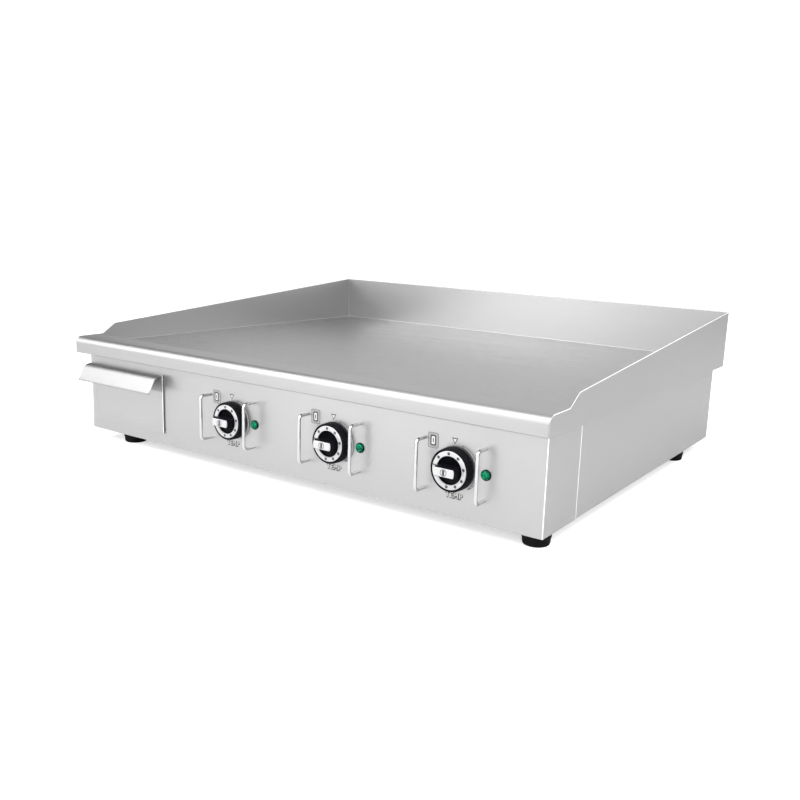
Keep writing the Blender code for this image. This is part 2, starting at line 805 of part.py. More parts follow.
def drawer_runner(name, wall_x, inward, finishes):
    """A channel on the base plate, with a ledge that the tray slides on."""
    low_h = FLOOR_H + SHEET + GAP
    top_h = TRAY_BOTTOM_H - GAP
    start_d = 0.014
    path = [
        (wall_x + inward * RUNNER_FOOT, low_h),
        (wall_x, low_h),
        (wall_x, top_h),
        (wall_x + inward * RUNNER_LEDGE, top_h),
    ]
    outline = bent_sheet(rounded(path, 0.002, 3), -inward * SHEET)
    corners = [at(point.x, start_d, point.y) for point in outline]
    prism(name, corners, Vector((0, TRAY_LENGTH, 0)), finishes["steel"])


# Mains


def terminal_block(finishes):
    """A block of terminals on the base plate, in front of the cable gland."""
    low_h = FLOOR_H + SHEET + GAP
    half = 0.035
    start_d = 0.640
    low = at(GLAND_X - half, start_d, low_h)
    high = at(GLAND_X + half, start_d + 0.028, low_h + 0.024)
    bevel(box("terminal_block", low, high, finishes["plastic"]), 0.001)


def cable_gland(finishes):
    """A body through the rear panel, with a flange, a domed nut and an open bore."""
    bore = 0.0050
    nut = 0.0115
    flange = 0.0140
    inner_end = -0.012
    outer_end = 0.020
    profile = [
        (bore, inner_end),
        (bore, outer_end),
        (nut - 0.0035, outer_end),
        (nut, outer_end - 0.006),
        (nut, 0.005),
        (flange, 0.005),
        (flange, GAP),
        (GLAND_HOLE - 0.0004, GAP),
        (GLAND_HOLE - 0.0004, inner_end),
    ]
    turned("cable_gland", profile, at(GLAND_X, BODY_DEPTH, GLAND_H), (0, 1, 0), finishes["plastic"], 16)


def main():
    for obj in list(bpy.data.objects):
        bpy.data.objects.remove(obj, do_unlink=True)
    finishes = make_finishes()
    front_panel(finishes)
    side_panel("side_panel_left", -1, finishes)
    side_panel("side_panel_right", 1, finishes)
    rear_panel(finishes)
    base_plate(finishes)
    feet(finishes)
    support_frame(finishes)
    front_nosing(finishes)
    splash_guard_side("splash_guard_left", -1, finishes)
    splash_guard_side("splash_guard_right", 1, finishes)
    splash_guard_rear(finishes)
    griddle_plate(finishes)
    grease_trough(finishes)
    drain_spout(finishes)
    heat_shield(finishes)
    for i in range(ZONES):
        heating_element(i, finishes)
        thermostat(i, finishes)
        capillary_bulb(i, finishes)
        pilot_lamp(i, finishes)
        knob(i, finishes)
        knob_guards(i, finishes)
    drip_drawer(finishes)
    drawer_runner("drawer_runner_left", RUNNER_X[0], 1, finishes)
    drawer_runner("drawer_runner_right", RUNNER_X[1], -1, finishes)
    terminal_block(finishes)
    cable_gland(finishes)


main()
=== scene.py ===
"""The looks of the countertop electric griddle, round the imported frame, with the studio that shows them:
fine sheet-metal skins, knobs, wire guards, lamps, printed marks and all materials.

Metres, in the frame's own axes: X along the front, the front faces -Y, +Z up.
"""

import json
import math

import bmesh
import bpy
from mathutils import Matrix, Vector


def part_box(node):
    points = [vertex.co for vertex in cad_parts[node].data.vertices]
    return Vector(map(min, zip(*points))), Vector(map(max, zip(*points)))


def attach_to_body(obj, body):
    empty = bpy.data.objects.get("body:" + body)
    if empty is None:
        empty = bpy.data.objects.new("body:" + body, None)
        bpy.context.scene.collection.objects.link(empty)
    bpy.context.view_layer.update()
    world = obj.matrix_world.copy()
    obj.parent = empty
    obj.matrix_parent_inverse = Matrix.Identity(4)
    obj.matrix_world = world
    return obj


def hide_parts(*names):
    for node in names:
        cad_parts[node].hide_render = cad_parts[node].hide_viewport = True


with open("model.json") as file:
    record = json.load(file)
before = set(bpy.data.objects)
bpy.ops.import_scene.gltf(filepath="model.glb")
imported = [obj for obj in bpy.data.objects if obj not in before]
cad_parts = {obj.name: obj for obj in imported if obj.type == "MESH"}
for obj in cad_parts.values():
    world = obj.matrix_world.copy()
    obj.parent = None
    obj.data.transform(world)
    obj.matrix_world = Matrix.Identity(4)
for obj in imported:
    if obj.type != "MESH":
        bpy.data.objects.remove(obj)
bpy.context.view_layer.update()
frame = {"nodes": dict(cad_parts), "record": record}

# Places, read from the frame.
PANEL_LOW, PANEL_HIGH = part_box("front_panel")
SIDE_LOW, SIDE_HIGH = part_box("side_panel_right")
NOSE_LOW, NOSE_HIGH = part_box("front_nosing")
PLATE_LOW, PLATE_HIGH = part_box("griddle_plate")
GUARD_LOW, GUARD_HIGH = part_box("splash_guard_right")
REAR_LOW, REAR_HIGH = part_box("splash_guard_rear")
DRAWER_LOW, DRAWER_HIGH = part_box("drawer_front")
PULL_LOW, PULL_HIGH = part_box("drawer_handle")
FRONT_Y = PANEL_LOW.y
BASE_Z = PANEL_LOW.z
HALF_WIDTH = PANEL_HIGH.x
ZONES = 3
DIALS = [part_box(f"knob_{i + 1}_dial") for i in range(ZONES)]
KNOB_AT = [Vector(((low.x + high.x) / 2, FRONT_Y, (low.z + high.z) / 2)) for low, high in DIALS]
KNOB_RADIUS = (DIALS[0][1].z - DIALS[0][0].z) / 2

# Sizes that the frame's boxes don't give.
SHEET = 0.0012
NOSING_SHEET = 0.0015
PANEL_BEND = 0.0026
NOSING_BEND = 0.0110
EDGE = 0.0004
THICK_EDGE = 0.0009
FLANGE_DEPTH = 0.012
DRAWER_OVERLAP = 0.003
WORLD_STRENGTH = 0.915
BACKDROP = 1.2
FLOOR_GLOW = 0.55
# The surround's dark flags: their azimuths and soft edges in degrees, and the heights where they fade out.
FLAGS = ((-128, -72), (60, 116))
FLAG_BLUR = 4
FLAG_FADE = (0.70, 0.90)
# Each soft light: name, azimuth and elevation in degrees, distance and size in metres, power in watts.
SOFTBOXES = [
    ("Camera_Softbox", 40, 30, 2.6, 2.8, 45),
    ("High_Camera_Softbox", 48, 45, 2.6, 2.0, 46),
    ("Front_Left_Softbox", -45, 30, 2.6, 1.6, 36),
    ("High_Front_Softbox", -20, 55, 2.4, 1.4, 25),
    ("Front_Softbox", -15, 15, 2.6, 1.6, 9),
    ("Low_Front_Strip", -28, 4, 3.0, 0.6, 6),
    ("Back_Right_Softbox", 140, 20, 2.6, 1.6, 15),
]
OUT = Vector((0, -1, 0))
UP = Vector((0, 0, 1))
RIGHT = Vector((1, 0, 0))


# Materials


class Nodes:
    """A material's node tree, with a short way to add and link nodes."""

    def __init__(self, name):
        self.material = bpy.data.materials.new(name)
        self.material.use_nodes = True
        self.tree = self.material.node_tree
        self.shader = self.tree.nodes["Principled BSDF"]

    def add(self, kind, **settings):
        node = self.tree.nodes.new(kind)
        for key, value in settings.items():
            setattr(node, key, value)
        return node

    def link(self, output, target):
        self.tree.links.new(output, target)

    def set(self, **values):
        """Constant values straight on the shader's sockets."""
        for key, value in values.items():
            self.shader.inputs[key.replace("_", " ")].default_value = value

    def noise(self, scale, stretch=(1, 1, 1), detail=2.0, roughness=0.5):
        """Noise over the object's own coordinates, in metres, with a scale for each axis."""
        place = self.add("ShaderNodeTexCoord")
        mapping = self.add("ShaderNodeMapping")
        mapping.inputs["Scale"].default_value = stretch
        noise = self.add("ShaderNodeTexNoise")
        noise.inputs["Scale"].default_value = scale
        noise.inputs["Detail"].default_value = detail
        noise.inputs["Roughness"].default_value = roughness
        self.link(place.outputs["Object"], mapping.inputs["Vector"])
        self.link(mapping.outputs["Vector"], noise.inputs["Vector"])
        return noise.outputs["Fac"]

    def spread(self, value, low, high, start=0.3, end=0.7):
        """value from start..end becomes low..high."""
        node = self.add("ShaderNodeMapRange")
        node.inputs["From Min"].default_value = start
        node.inputs["From Max"].default_value = end
        node.inputs["To Min"].default_value = low
        node.inputs["To Max"].default_value = high
        self.link(value, node.inputs["Value"])
        return node.outputs["Result"]

    def maths(self, operation, a, b):
        node = self.add("ShaderNodeMath", operation=operation)
        for socket, value in zip(node.inputs, (a, b)):
            if isinstance(value, (int, float)):
                socket.default_value = value
            else:
                self.link(value, socket)
        return node.outputs["Value"]

    def mix(self, factor, a, b):
        """Blends two colours or two values that are already linked outputs, or plain RGB tuples."""
        node = self.add("ShaderNodeMix", data_type="RGBA")
        self.link(factor, node.inputs["Factor"])
        for socket, value in zip((node.inputs[6], node.inputs[7]), (a, b)):
            if isinstance(value, tuple):
                socket.default_value = (*value, 1)
            else:
                self.link(value, socket)
        return node.outputs[2]

    def bump(self, height, distance, strength=1.0):
        node = self.add("ShaderNodeBump")
        node.inputs["Distance"].default_value = distance
        node.inputs["Strength"].default_value = strength
        self.link(height, node.inputs["Height"])
        self.link(node.outputs["Normal"], self.shader.inputs["Normal"])

    def facing_side(self):
        """1 on faces that look along X, 0 on the others."""
        place = self.add("ShaderNodeTexCoord")
        split = self.add("ShaderNodeSeparateXYZ")
        self.link(place.outputs["Normal"], split.inputs["Vector"])
        return self.maths("GREATER_THAN", self.maths("ABSOLUTE", split.outputs["X"], 0), 0.7)


def brushed_steel(name, tone, roughness, grain=0.014, bump=0.0000012, mottle=0.008):
    """Sheet brushed along its length: along Y on faces that look sideways, along X on the others."""
    nodes = Nodes(name)
    nodes.set(Metallic=1.0)
    along_x = nodes.noise(1, (5, 1700, 1700), 3)
    along_y = nodes.noise(1, (1700, 5, 1700), 3)
    side = nodes.facing_side()
    fine = nodes.mix(side, along_x, along_y)
    wide_x = nodes.noise(1, (1.2, 420, 420), 2)
    wide_y = nodes.noise(1, (420, 1.2, 420), 2)
    wide = nodes.mix(side, wide_x, wide_y)
    cloud = nodes.noise(4.0, detail=2)
    soft = grain * 0.4
    streak = nodes.maths("ADD", nodes.spread(fine, -grain, grain), nodes.spread(wide, -soft, soft))
    shade = nodes.maths("ADD", streak, nodes.spread(cloud, -mottle, mottle))
    level = nodes.maths("MULTIPLY", nodes.maths("ADD", shade, 1.0), tone)
    nodes.link(level, nodes.shader.inputs["Base Color"])
    nodes.link(nodes.spread(fine, roughness - 0.03, roughness + 0.03), nodes.shader.inputs["Roughness"])
    nodes.bump(fine, bump)
    return nodes.material


def ground_plate(name, tone, roughness):
    """Thick plate, ground along X, with long faint scratches and soft clouds."""
    nodes = Nodes(name)
    nodes.set(Metallic=1.0)
    fine = nodes.noise(1, (7, 1300, 1300), 3)
    long_marks = nodes.noise(1, (1.0, 220, 220), 2)
    cloud = nodes.noise(3.5, detail=3)
    streak = nodes.maths("ADD", nodes.spread(fine, -0.022, 0.022), nodes.spread(long_marks, -0.01, 0.01))
    shade = nodes.maths("ADD", streak, nodes.spread(cloud, -0.02, 0.02))
    level = nodes.maths("MULTIPLY", nodes.maths("ADD", shade, 1.0), tone)
    nodes.link(level, nodes.shader.inputs["Base Color"])
    nodes.link(nodes.spread(fine, roughness - 0.04, roughness + 0.04), nodes.shader.inputs["Roughness"])
    nodes.bump(fine, 0.000002)
    return nodes.material


def plated(name, tone, roughness):
    """Bright plating, with very faint waviness and handling marks."""
    nodes = Nodes(name)
    nodes.set(Metallic=1.0)
    smear = nodes.noise(160, detail=3)
    dull = tuple(c * 0.94 for c in tone)
    nodes.link(nodes.mix(nodes.spread(smear, 0, 1), dull, tone), nodes.shader.inputs["Base Color"])
    nodes.link(nodes.spread(smear, roughness, roughness + 0.04), nodes.shader.inputs["Roughness"])
    nodes.bump(nodes.noise(400, detail=1), 0.00001)
    return nodes.material


def satin_ring(name, tone, roughness):
    """The dial ring's pale satin metal, with a fine fleck."""
    nodes = Nodes(name)
    nodes.set(Metallic=0.35)
    fleck = nodes.noise(900, detail=2)
    dull = tuple(c * 0.95 for c in tone)
    nodes.link(nodes.mix(nodes.spread(fleck, 0, 1), dull, tone), nodes.shader.inputs["Base Color"])
    nodes.link(nodes.spread(fleck, roughness - 0.03, roughness + 0.04), nodes.shader.inputs["Roughness"])
    nodes.bump(fleck, 0.000004)
    return nodes.material


def moulded(name, colour, roughness, grain=0.00001, specular=0.5, coat=0.0):
    """Moulded plastic with a fine spark-eroded grain and a little unevenness."""
    nodes = Nodes(name)
    nodes.set(Specular_IOR_Level=specular, Coat_Weight=coat, Coat_Roughness=0.15)
    grainy = nodes.noise(2600, detail=2)
    cloud = nodes.noise(90, detail=2)
    lighter = tuple(min(1.0, c * 1.35 + 0.002) for c in colour)
    nodes.link(nodes.mix(nodes.spread(cloud, 0, 1), colour, lighter), nodes.shader.inputs["Base Color"])
    nodes.link(nodes.spread(grainy, roughness - 0.06, roughness + 0.08), nodes.shader.inputs["Roughness"])
    nodes.bump(grainy, grain)
    return nodes.material


def rubber(name):
    nodes = Nodes(name)
    nodes.set(Specular_IOR_Level=0.08)
    speck = nodes.noise(1800, detail=3)
    dust = nodes.noise(60, detail=3)
    dark = (0.002, 0.002, 0.002)
    pale = (0.006, 0.006, 0.0055)
    nodes.link(nodes.mix(nodes.spread(dust, 0, 1), dark, pale), nodes.shader.inputs["Base Color"])
    nodes.link(nodes.spread(speck, 0.55, 0.8), nodes.shader.inputs["Roughness"])
    nodes.bump(speck, 0.00004)
    return nodes.material


def green_lens(name):
    """Green plastic, deeper in patches, with a clear glossy skin."""
    nodes = Nodes(name)
    nodes.set(Coat_Weight=0.1, Coat_Roughness=0.08, Specular_IOR_Level=0.05)
    depth = nodes.noise(380, detail=2)
    deep = (0.0, 0.002, 0.001)
    bright = (0.0, 0.22, 0.10)
    nodes.link(nodes.mix(nodes.spread(depth, 0, 1), deep, bright), nodes.shader.inputs["Base Color"])
    nodes.link(nodes.spread(depth, 0.08, 0.18), nodes.shader.inputs["Roughness"])
    return nodes.material


def heated_sheath(name):
    """A tubular element's sheath, darkened and blued by heat in patches."""
    nodes = Nodes(name)
    nodes.set(Metallic=0.8)
    patch = nodes.noise(45, detail=3)
    blue = (0.05, 0.05, 0.06)
    brown = (0.20, 0.17, 0.14)
    nodes.link(nodes.mix(nodes.spread(patch, 0, 1), blue, brown), nodes.shader.inputs["Base Color"])
    nodes.link(nodes.spread(patch, 0.4, 0.65), nodes.shader.inputs["Roughness"])
    nodes.bump(nodes.noise(900, detail=2), 0.00002)
    return nodes.material


def fibre(name):
    """White ceramic blanket, with tufts along its length."""
    nodes = Nodes(name)
    nodes.set(Sheen_Weight=0.3)
    tuft = nodes.noise(1, (500, 90, 500), 4)
    shade = (0.70, 0.69, 0.64)
    crown = (0.88, 0.87, 0.84)
    nodes.link(nodes.mix(nodes.spread(tuft, 0, 1), shade, crown), nodes.shader.inputs["Base Color"])
    nodes.link(nodes.spread(tuft, 0.85, 1.0), nodes.shader.inputs["Roughness"])
    nodes.bump(tuft, 0.0006)
    return nodes.material


def ink(name, colour):
    nodes = Nodes(name)
    worn = nodes.noise(700, detail=2)
    lighter = tuple(min(1.0, c + 0.03) for c in colour)
    nodes.link(nodes.mix(nodes.spread(worn, 0, 1), colour, lighter), nodes.shader.inputs["Base Color"])
    nodes.link(nodes.spread(worn, 0.35, 0.5), nodes.shader.inputs["Roughness"])
    return nodes.material


def make_materials():
    return {
        "body": brushed_steel("Body_Steel", 0.39, 0.36),
        "guard": brushed_steel("Guard_Steel", 0.37, 0.36),
        "nosing": brushed_steel("Nosing_Steel", 0.365, 0.46),
        # Painted shade: the pull is the body's steel in a darker copy, so it reads less bright under the
        # lights.
        "pull": brushed_steel("Pull_Steel_Painted_Shade", 0.30, 0.44),
        # Painted highlight: a far paler copy of the body steel, on the thin rods that draw bright lines
        # along seams, corners and edges.
        "edge": brushed_steel("Painted_Highlight_Steel", 0.92, 0.20),
        "plate": ground_plate("Plate_Steel", 0.33, 0.30),
        "inside": brushed_steel("Inside_Steel", 0.35, 0.42),
        "chrome": plated("Chrome", (0.90, 0.90, 0.91), 0.05),
        "wire": plated("Wire_Chrome", (0.55, 0.55, 0.56), 0.09),
        "ring": satin_ring("Dial_Ring_Metal", (0.42, 0.42, 0.425), 0.38),
        "tube": plated("Drawn_Tube", (0.50, 0.49, 0.47), 0.28),
        "black": moulded("Black_Phenolic", (0.0020, 0.0022, 0.0035), 0.42, specular=0.05),
        "grey": moulded("Grey_Plastic", (0.20, 0.20, 0.20), 0.48),
        "lens": green_lens("Green_Lens"),
        "rubber": rubber("Black_Rubber"),
        "element": heated_sheath("Element_Sheath"),
        "fibre": fibre("Ceramic_Fibre"),
        "dark_ink": ink("Dark_Ink", (0.018, 0.018, 0.020)),
        "pale_ink": ink("Pale_Ink", (0.23, 0.23, 0.23)),
        "light_ink": ink("Light_Ink", (0.50, 0.50, 0.50)),
    }


# Mesh helpers


def piece(name, bm, material, body, replaces=(), bevel=0.0, sharp=35):
    """A shown piece from a bmesh in the frame's axes, riding on a body."""
    mesh = bpy.data.meshes.new(name)
    bmesh.ops.recalc_face_normals(bm, faces=bm.faces)
    bm.to_mesh(mesh)
    bm.free()
    mesh.shade_smooth()
    mesh.set_sharp_from_angle(angle=math.radians(sharp))
    mesh.materials.append(material)
    obj = bpy.data.objects.new(name, mesh)
    bpy.context.scene.collection.objects.link(obj)
    if bevel:
        made = obj.modifiers.new("Bevel", "BEVEL")
        made.width = bevel
        made.segments = 3
        made.limit_method = "ANGLE"
        made.angle_limit = math.radians(sharp)
        made.harden_normals = True
    return attach(obj, body, replaces)


def attach(obj, body, replaces=()):
    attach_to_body(obj, body)
    if replaces:
        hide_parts(*replaces)
    return obj


def add_box(bm, low, high):
    low = Vector(low)
    high = Vector(high)
    place = Matrix.Translation((low + high) / 2) @ Matrix.Diagonal((*(high - low), 1))
    bmesh.ops.create_cube(bm, size=1, matrix=place)


def add_prism(bm, corners, along):
    """Extrudes a flat outline of 3-D corners by a vector, as a closed solid."""
    near = [bm.verts.new(corner) for corner in corners]
    far = [bm.verts.new(corner + along) for corner in corners]
    bm.faces.new(near)
    bm.faces.new(far[::-1])
    for i in range(len(near)):
        j = (i + 1) % len(near)
        bm.faces.new((near[i], far[i], far[j], near[j]))


def add_lathe(bm, profile, centre, axis, segments, radius_at=None):
    """Turns an open (radius, height) profile round an axis. A radius of 0 closes it there."""
    turn = UP.rotation_difference(axis).to_matrix()
    rings = []
    for radius, height in profile:
        if radius == 0:
            rings.append([bm.verts.new(centre + axis * height)])
            continue
        ring = []
        for k in range(segments):
            angle = math.tau * k / segments
            reach = radius_at(radius, height, angle) if radius_at else radius
            local = Vector((reach * math.cos(angle), reach * math.sin(angle), height))
            ring.append(bm.verts.new(centre + turn @ local))
        rings.append(ring)
    for a, b in zip(rings, rings[1:]):
        for k in range(segments):
            m = (k + 1) % segments
            corners = [a[k % len(a)], a[m % len(a)], b[m % len(b)], b[k % len(b)]]
            bm.faces.new(list(dict.fromkeys(corners)))


def rod(name, points, radius, material, body, replaces=()):
    """A round wire along a path, as a bevelled curve."""
    curve = bpy.data.curves.new(name, "CURVE")
    curve.dimensions = "3D"
    curve.bevel_depth = radius
    curve.bevel_resolution = 8
    curve.use_fill_caps = True
    curve.materials.append(material)
    spline = curve.splines.new("POLY")
    spline.points.add(len(points) - 1)
    for target, point in zip(spline.points, points):
        target.co = (*point, 1)
    spline.use_smooth = True
    obj = bpy.data.objects.new(name, curve)
    bpy.context.scene.collection.objects.link(obj)
    return attach(obj, body, replaces)


def cut(obj, bm):
    """Cuts a closed bmesh from a piece and keeps the result as the piece's own mesh."""
    mesh = bpy.data.meshes.new("cutter")
    bmesh.ops.recalc_face_normals(bm, faces=bm.faces)
    bm.to_mesh(mesh)
    bm.free()
    cutter = bpy.data.objects.new("cutter", mesh)
    bpy.context.scene.collection.objects.link(cutter)
    made = obj.modifiers.new("Cut", "BOOLEAN")
    made.object = cutter
    kept = [m for m in obj.modifiers if m.name == "Bevel"]
    for modifier in kept:
        modifier.show_viewport = False
    bpy.context.view_layer.update()
    result = bpy.data.meshes.new_from_object(obj.evaluated_get(bpy.context.evaluated_depsgraph_get()))
    obj.modifiers.remove(made)
    obj.data = result
    for modifier in kept:
        modifier.show_viewport = True
    bpy.data.objects.remove(cutter)


def rounded(points, radii, steps=10):
    """The path with each inner corner replaced by an arc of its radius."""
    points = [Vector(point) for point in points]
    path = [points[0]]
    for before, corner, after, bend in zip(points, points[1:], points[2:], radii):
        back = (before - corner).normalized()
        on = (after - corner).normalized()
        half = back.angle(on) / 2
        centre = corner + (back + on).normalized() * bend / math.sin(half)
        first = (corner + back * bend / math.tan(half) - centre).normalized()
        last = (corner + on * bend / math.tan(half) - centre).normalized()
        path += [centre + first.slerp(last, i / steps) * bend for i in range(steps + 1)]
    return path + [points[-1]]


def bent_sheet(path, thickness):
    """The closed outline of a sheet whose one face follows a 2-D path, the other on the path's left."""
    ways = [(b - a).normalized() for a, b in zip(path, path[1:])]
    lefts = [Vector((-way.y, way.x)) for way in ways]
    other = [path[0] + lefts[0] * thickness]
    for point, a, b in zip(path[1:], lefts, lefts[1:]):
        other.append(point + (a + b) * thickness / (1 + a.dot(b)))
    other.append(path[-1] + lefts[-1] * thickness)
    return path + other[::-1]


# Body and deck


def front_panel(materials):
    """The front sheet with its returns round both corners, its flanges and an opening for the drawer."""
    back = PANEL_HIGH.y
    path = [(-HALF_WIDTH, back), (-HALF_WIDTH, FRONT_Y), (HALF_WIDTH, FRONT_Y), (HALF_WIDTH, back)]
    outline = bent_sheet(rounded(path, [PANEL_BEND] * 2), SHEET)
    bm = bmesh.new()
    add_prism(bm, [Vector((*point, BASE_Z)) for point in outline], UP * (PANEL_HIGH.z - BASE_Z))
    obj = piece("front_sheet", bm, materials["body"], "body", ["front_panel"], EDGE)
    through = 0.01
    hole = bmesh.new()
    low = Vector((DRAWER_LOW.x + DRAWER_OVERLAP, FRONT_Y - through, DRAWER_LOW.z + DRAWER_OVERLAP))
    high = Vector((DRAWER_HIGH.x - DRAWER_OVERLAP, FRONT_Y + through, DRAWER_HIGH.z - DRAWER_OVERLAP))
    add_box(hole, low, high)
    cut(obj, hole)
    flange_half = HALF_WIDTH - 0.004
    flanges = bmesh.new()
    for z in (BASE_Z, PANEL_HIGH.z - SHEET):
        near = (-flange_half, FRONT_Y + SHEET, z)
        far = (flange_half, FRONT_Y + FLANGE_DEPTH, z + SHEET)
        add_box(flanges, near, far)
    piece("front_sheet_flanges", flanges, materials["body"], "body")
    paint_edge_highlights(materials)


def paint_edge_highlights(materials):
    """Painted highlights: a thin bead along each side's seam and a thin line down each front corner, both
    in the pale highlight steel.
    """
    bead = 0.0008
    corner_line = 0.0012
    proud = 0.0001
    outermost = (PANEL_BEND - corner_line + proud) / math.sqrt(2)
    end_gap = 0.0004
    foot = BASE_Z + end_gap
    tall = PANEL_HIGH.z - BASE_Z - 2 * end_gap
    edges = bmesh.new()
    for side in (-1, 1):
        seam = Vector((side * (HALF_WIDTH - 0.0005), PANEL_HIGH.y - bead, foot))
        corner_x = side * (HALF_WIDTH - PANEL_BEND + outermost)
        corner = Vector((corner_x, FRONT_Y + PANEL_BEND - outermost, foot))
        for place, radius in ((seam, bead), (corner, corner_line)):
            add_lathe(edges, [(0, 0), (radius, 0), (radius, tall), (0, tall)], place, UP, 48)
    piece("front_sheet_painted_highlights", edges, materials["edge"], "body")


def side_panel(word, side, materials):
    low_z = SIDE_LOW.z
    high_z = SIDE_HIGH.z
    path = [
        (side * (HALF_WIDTH - 0.018), high_z),
        (side * HALF_WIDTH, high_z),
        (side * HALF_WIDTH, low_z),
        (side * (HALF_WIDTH - 0.015), low_z),
    ]
    outline = bent_sheet(rounded(path, [0.002] * 2), -side * SHEET)
    bm = bmesh.new()
    corners = [Vector((point.x, SIDE_LOW.y, point.y)) for point in outline]
    add_prism(bm, corners, Vector((0, SIDE_HIGH.y - SIDE_LOW.y, 0)))
    piece(f"side_sheet_{word}", bm, materials["body"], "body", [f"side_panel_{word}"], EDGE)


def nosing(materials):
    """The rolled front edge of the deck, with its lip under it and its flange down to the trough."""
    top = NOSE_HIGH.z + 0.0003
    path = [
        (FRONT_Y - 0.0006, NOSE_LOW.z),
        (NOSE_LOW.y, NOSE_LOW.z),
        (NOSE_LOW.y, top),
        (NOSE_HIGH.y, top - 0.0015),
        (NOSE_HIGH.y, PLATE_LOW.z),
    ]
    outline = bent_sheet(rounded(path, [0.0020, NOSING_BEND, 0.0020], 16), -NOSING_SHEET)
    bm = bmesh.new()
    tuck = 0.0005
    corners = [Vector((NOSE_LOW.x - tuck, point.x, point.y)) for point in outline]
    add_prism(bm, corners, Vector((NOSE_HIGH.x - NOSE_LOW.x + 2 * tuck, 0, 0)))
    piece("nosing_sheet", bm, materials["nosing"], "body", ["front_nosing"], 0.0002)


def splash_guards(materials):
    """Side plates flush with the nosing's ends, stepping up behind it, and a straight rear plate."""
    front_y = GUARD_LOW.y
    step = Vector((FRONT_Y + 0.034, BASE_Z + 0.1652))
    rise = Vector((FRONT_Y + 0.060, BASE_Z + 0.182))
    back_top = Vector((GUARD_HIGH.y, GUARD_HIGH.z))
    back_low = Vector((GUARD_HIGH.y, GUARD_LOW.z))
    past_nose = 10
    inset = 0.0005
    front = [(front_y, GUARD_LOW.z), (front_y, BASE_Z + 0.1645), step]
    path = rounded(front, [NOSING_BEND], 16) + [rise, back_top, back_low]
    for word, side in (("left", -1), ("right", 1)):
        bm = bmesh.new()
        corners = [Vector((side * GUARD_LOW.x, point.x, point.y)) for point in path]
        add_prism(bm, corners, Vector((side * (GUARD_HIGH.x - GUARD_LOW.x), 0, 0)))
        name = f"guard_plate_{word}"
        piece(name, bm, materials["guard"], "body", [f"splash_guard_{word}"], THICK_EDGE)
        # Painted highlight: a thin rod of the pale highlight steel along the plate's outer top edge.
        outer = side * (GUARD_HIGH.x - inset)
        line = [Vector((outer, point.x + inset / 2, point.y - inset)) for point in path[past_nose:-1]]
        rod(f"guard_painted_highlight_{word}", line, 0.0006, materials["edge"], "body")
    bm = bmesh.new()
    add_box(bm, REAR_LOW, REAR_HIGH)
    name = "guard_plate_rear"
    piece(name, bm, materials["guard"], "body", ["splash_guard_rear"], THICK_EDGE)


def plate(materials):
    bm = bmesh.new()
    add_box(bm, PLATE_LOW, PLATE_HIGH)
    name = "cooking_plate"
    piece(name, bm, materials["plate"], "body", ["griddle_plate"], THICK_EDGE)


def weld_fillets(materials):
    """The smoothed welds where the plate meets the guards, and where the guards meet each other."""
    reach = 0.0013
    left = GUARD_LOW.x
    rear = REAR_LOW.y
    z = PLATE_HIGH.z
    bm = bmesh.new()

    def fillet(corner, one, other, along):
        """A hollow-faced corner strip: one and other point away from the corner along its two walls."""
        outline = [corner]
        for k in range(7):
            angle = math.pi / 2 * k / 6
            along_one = one * reach * (1 - math.sin(angle))
            along_other = other * reach * (1 - math.cos(angle))
            outline.append(corner + along_one + along_other)
        add_prism(bm, outline, along)

    front = PLATE_LOW.y + 0.001
    for side in (-1, 1):
        corner = Vector((side * left, front, z))
        fillet(corner, RIGHT * -side, UP, Vector((0, rear - front, 0)))
        upright = Vector((side * left, rear, z))
        fillet(upright, RIGHT * -side, OUT, UP * (GUARD_HIGH.z - z - 0.0006))
    fillet(Vector((-left, rear, z)), OUT, UP, RIGHT * 2 * left)
    piece("weld_fillets", bm, materials["plate"], "body")


def feet(materials):
    """Black rubber feet: a straight collar, a small step and a rounded sole."""
    for word in ("front_left", "front_right", "rear_left", "rear_right"):
        low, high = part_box(f"foot_{word}")
        centre = Vector(((low.x + high.x) / 2, (low.y + high.y) / 2, 0))
        radius = (high.x - low.x) / 2
        sole = radius - 0.0035
        top = BASE_Z - 0.0003
        profile = [(0, 0.0003), (sole - 0.0060, 0.0003), (sole - 0.0055, 0), (sole, 0)]
        profile += [(sole + 0.0007, 0.0003), (sole + 0.0014, 0.0010), (sole + 0.0019, 0.0021)]
        profile += [(sole + 0.0022, 0.0036), (sole + 0.0026, 0.0088), (sole + 0.0029, 0.0095)]
        profile += [(radius - 0.0003, 0.0100), (radius, 0.0106), (radius, top - 0.0008)]
        profile += [(radius - 0.0003, top - 0.0002), (radius - 0.0008, top), (0, top)]
        bm = bmesh.new()
        add_lathe(bm, profile, centre, UP, 64)
        name = f"foot_pad_{word}"
        piece(name, bm, materials["rubber"], "body", [f"foot_{word}"], sharp=50)


# Drip drawer


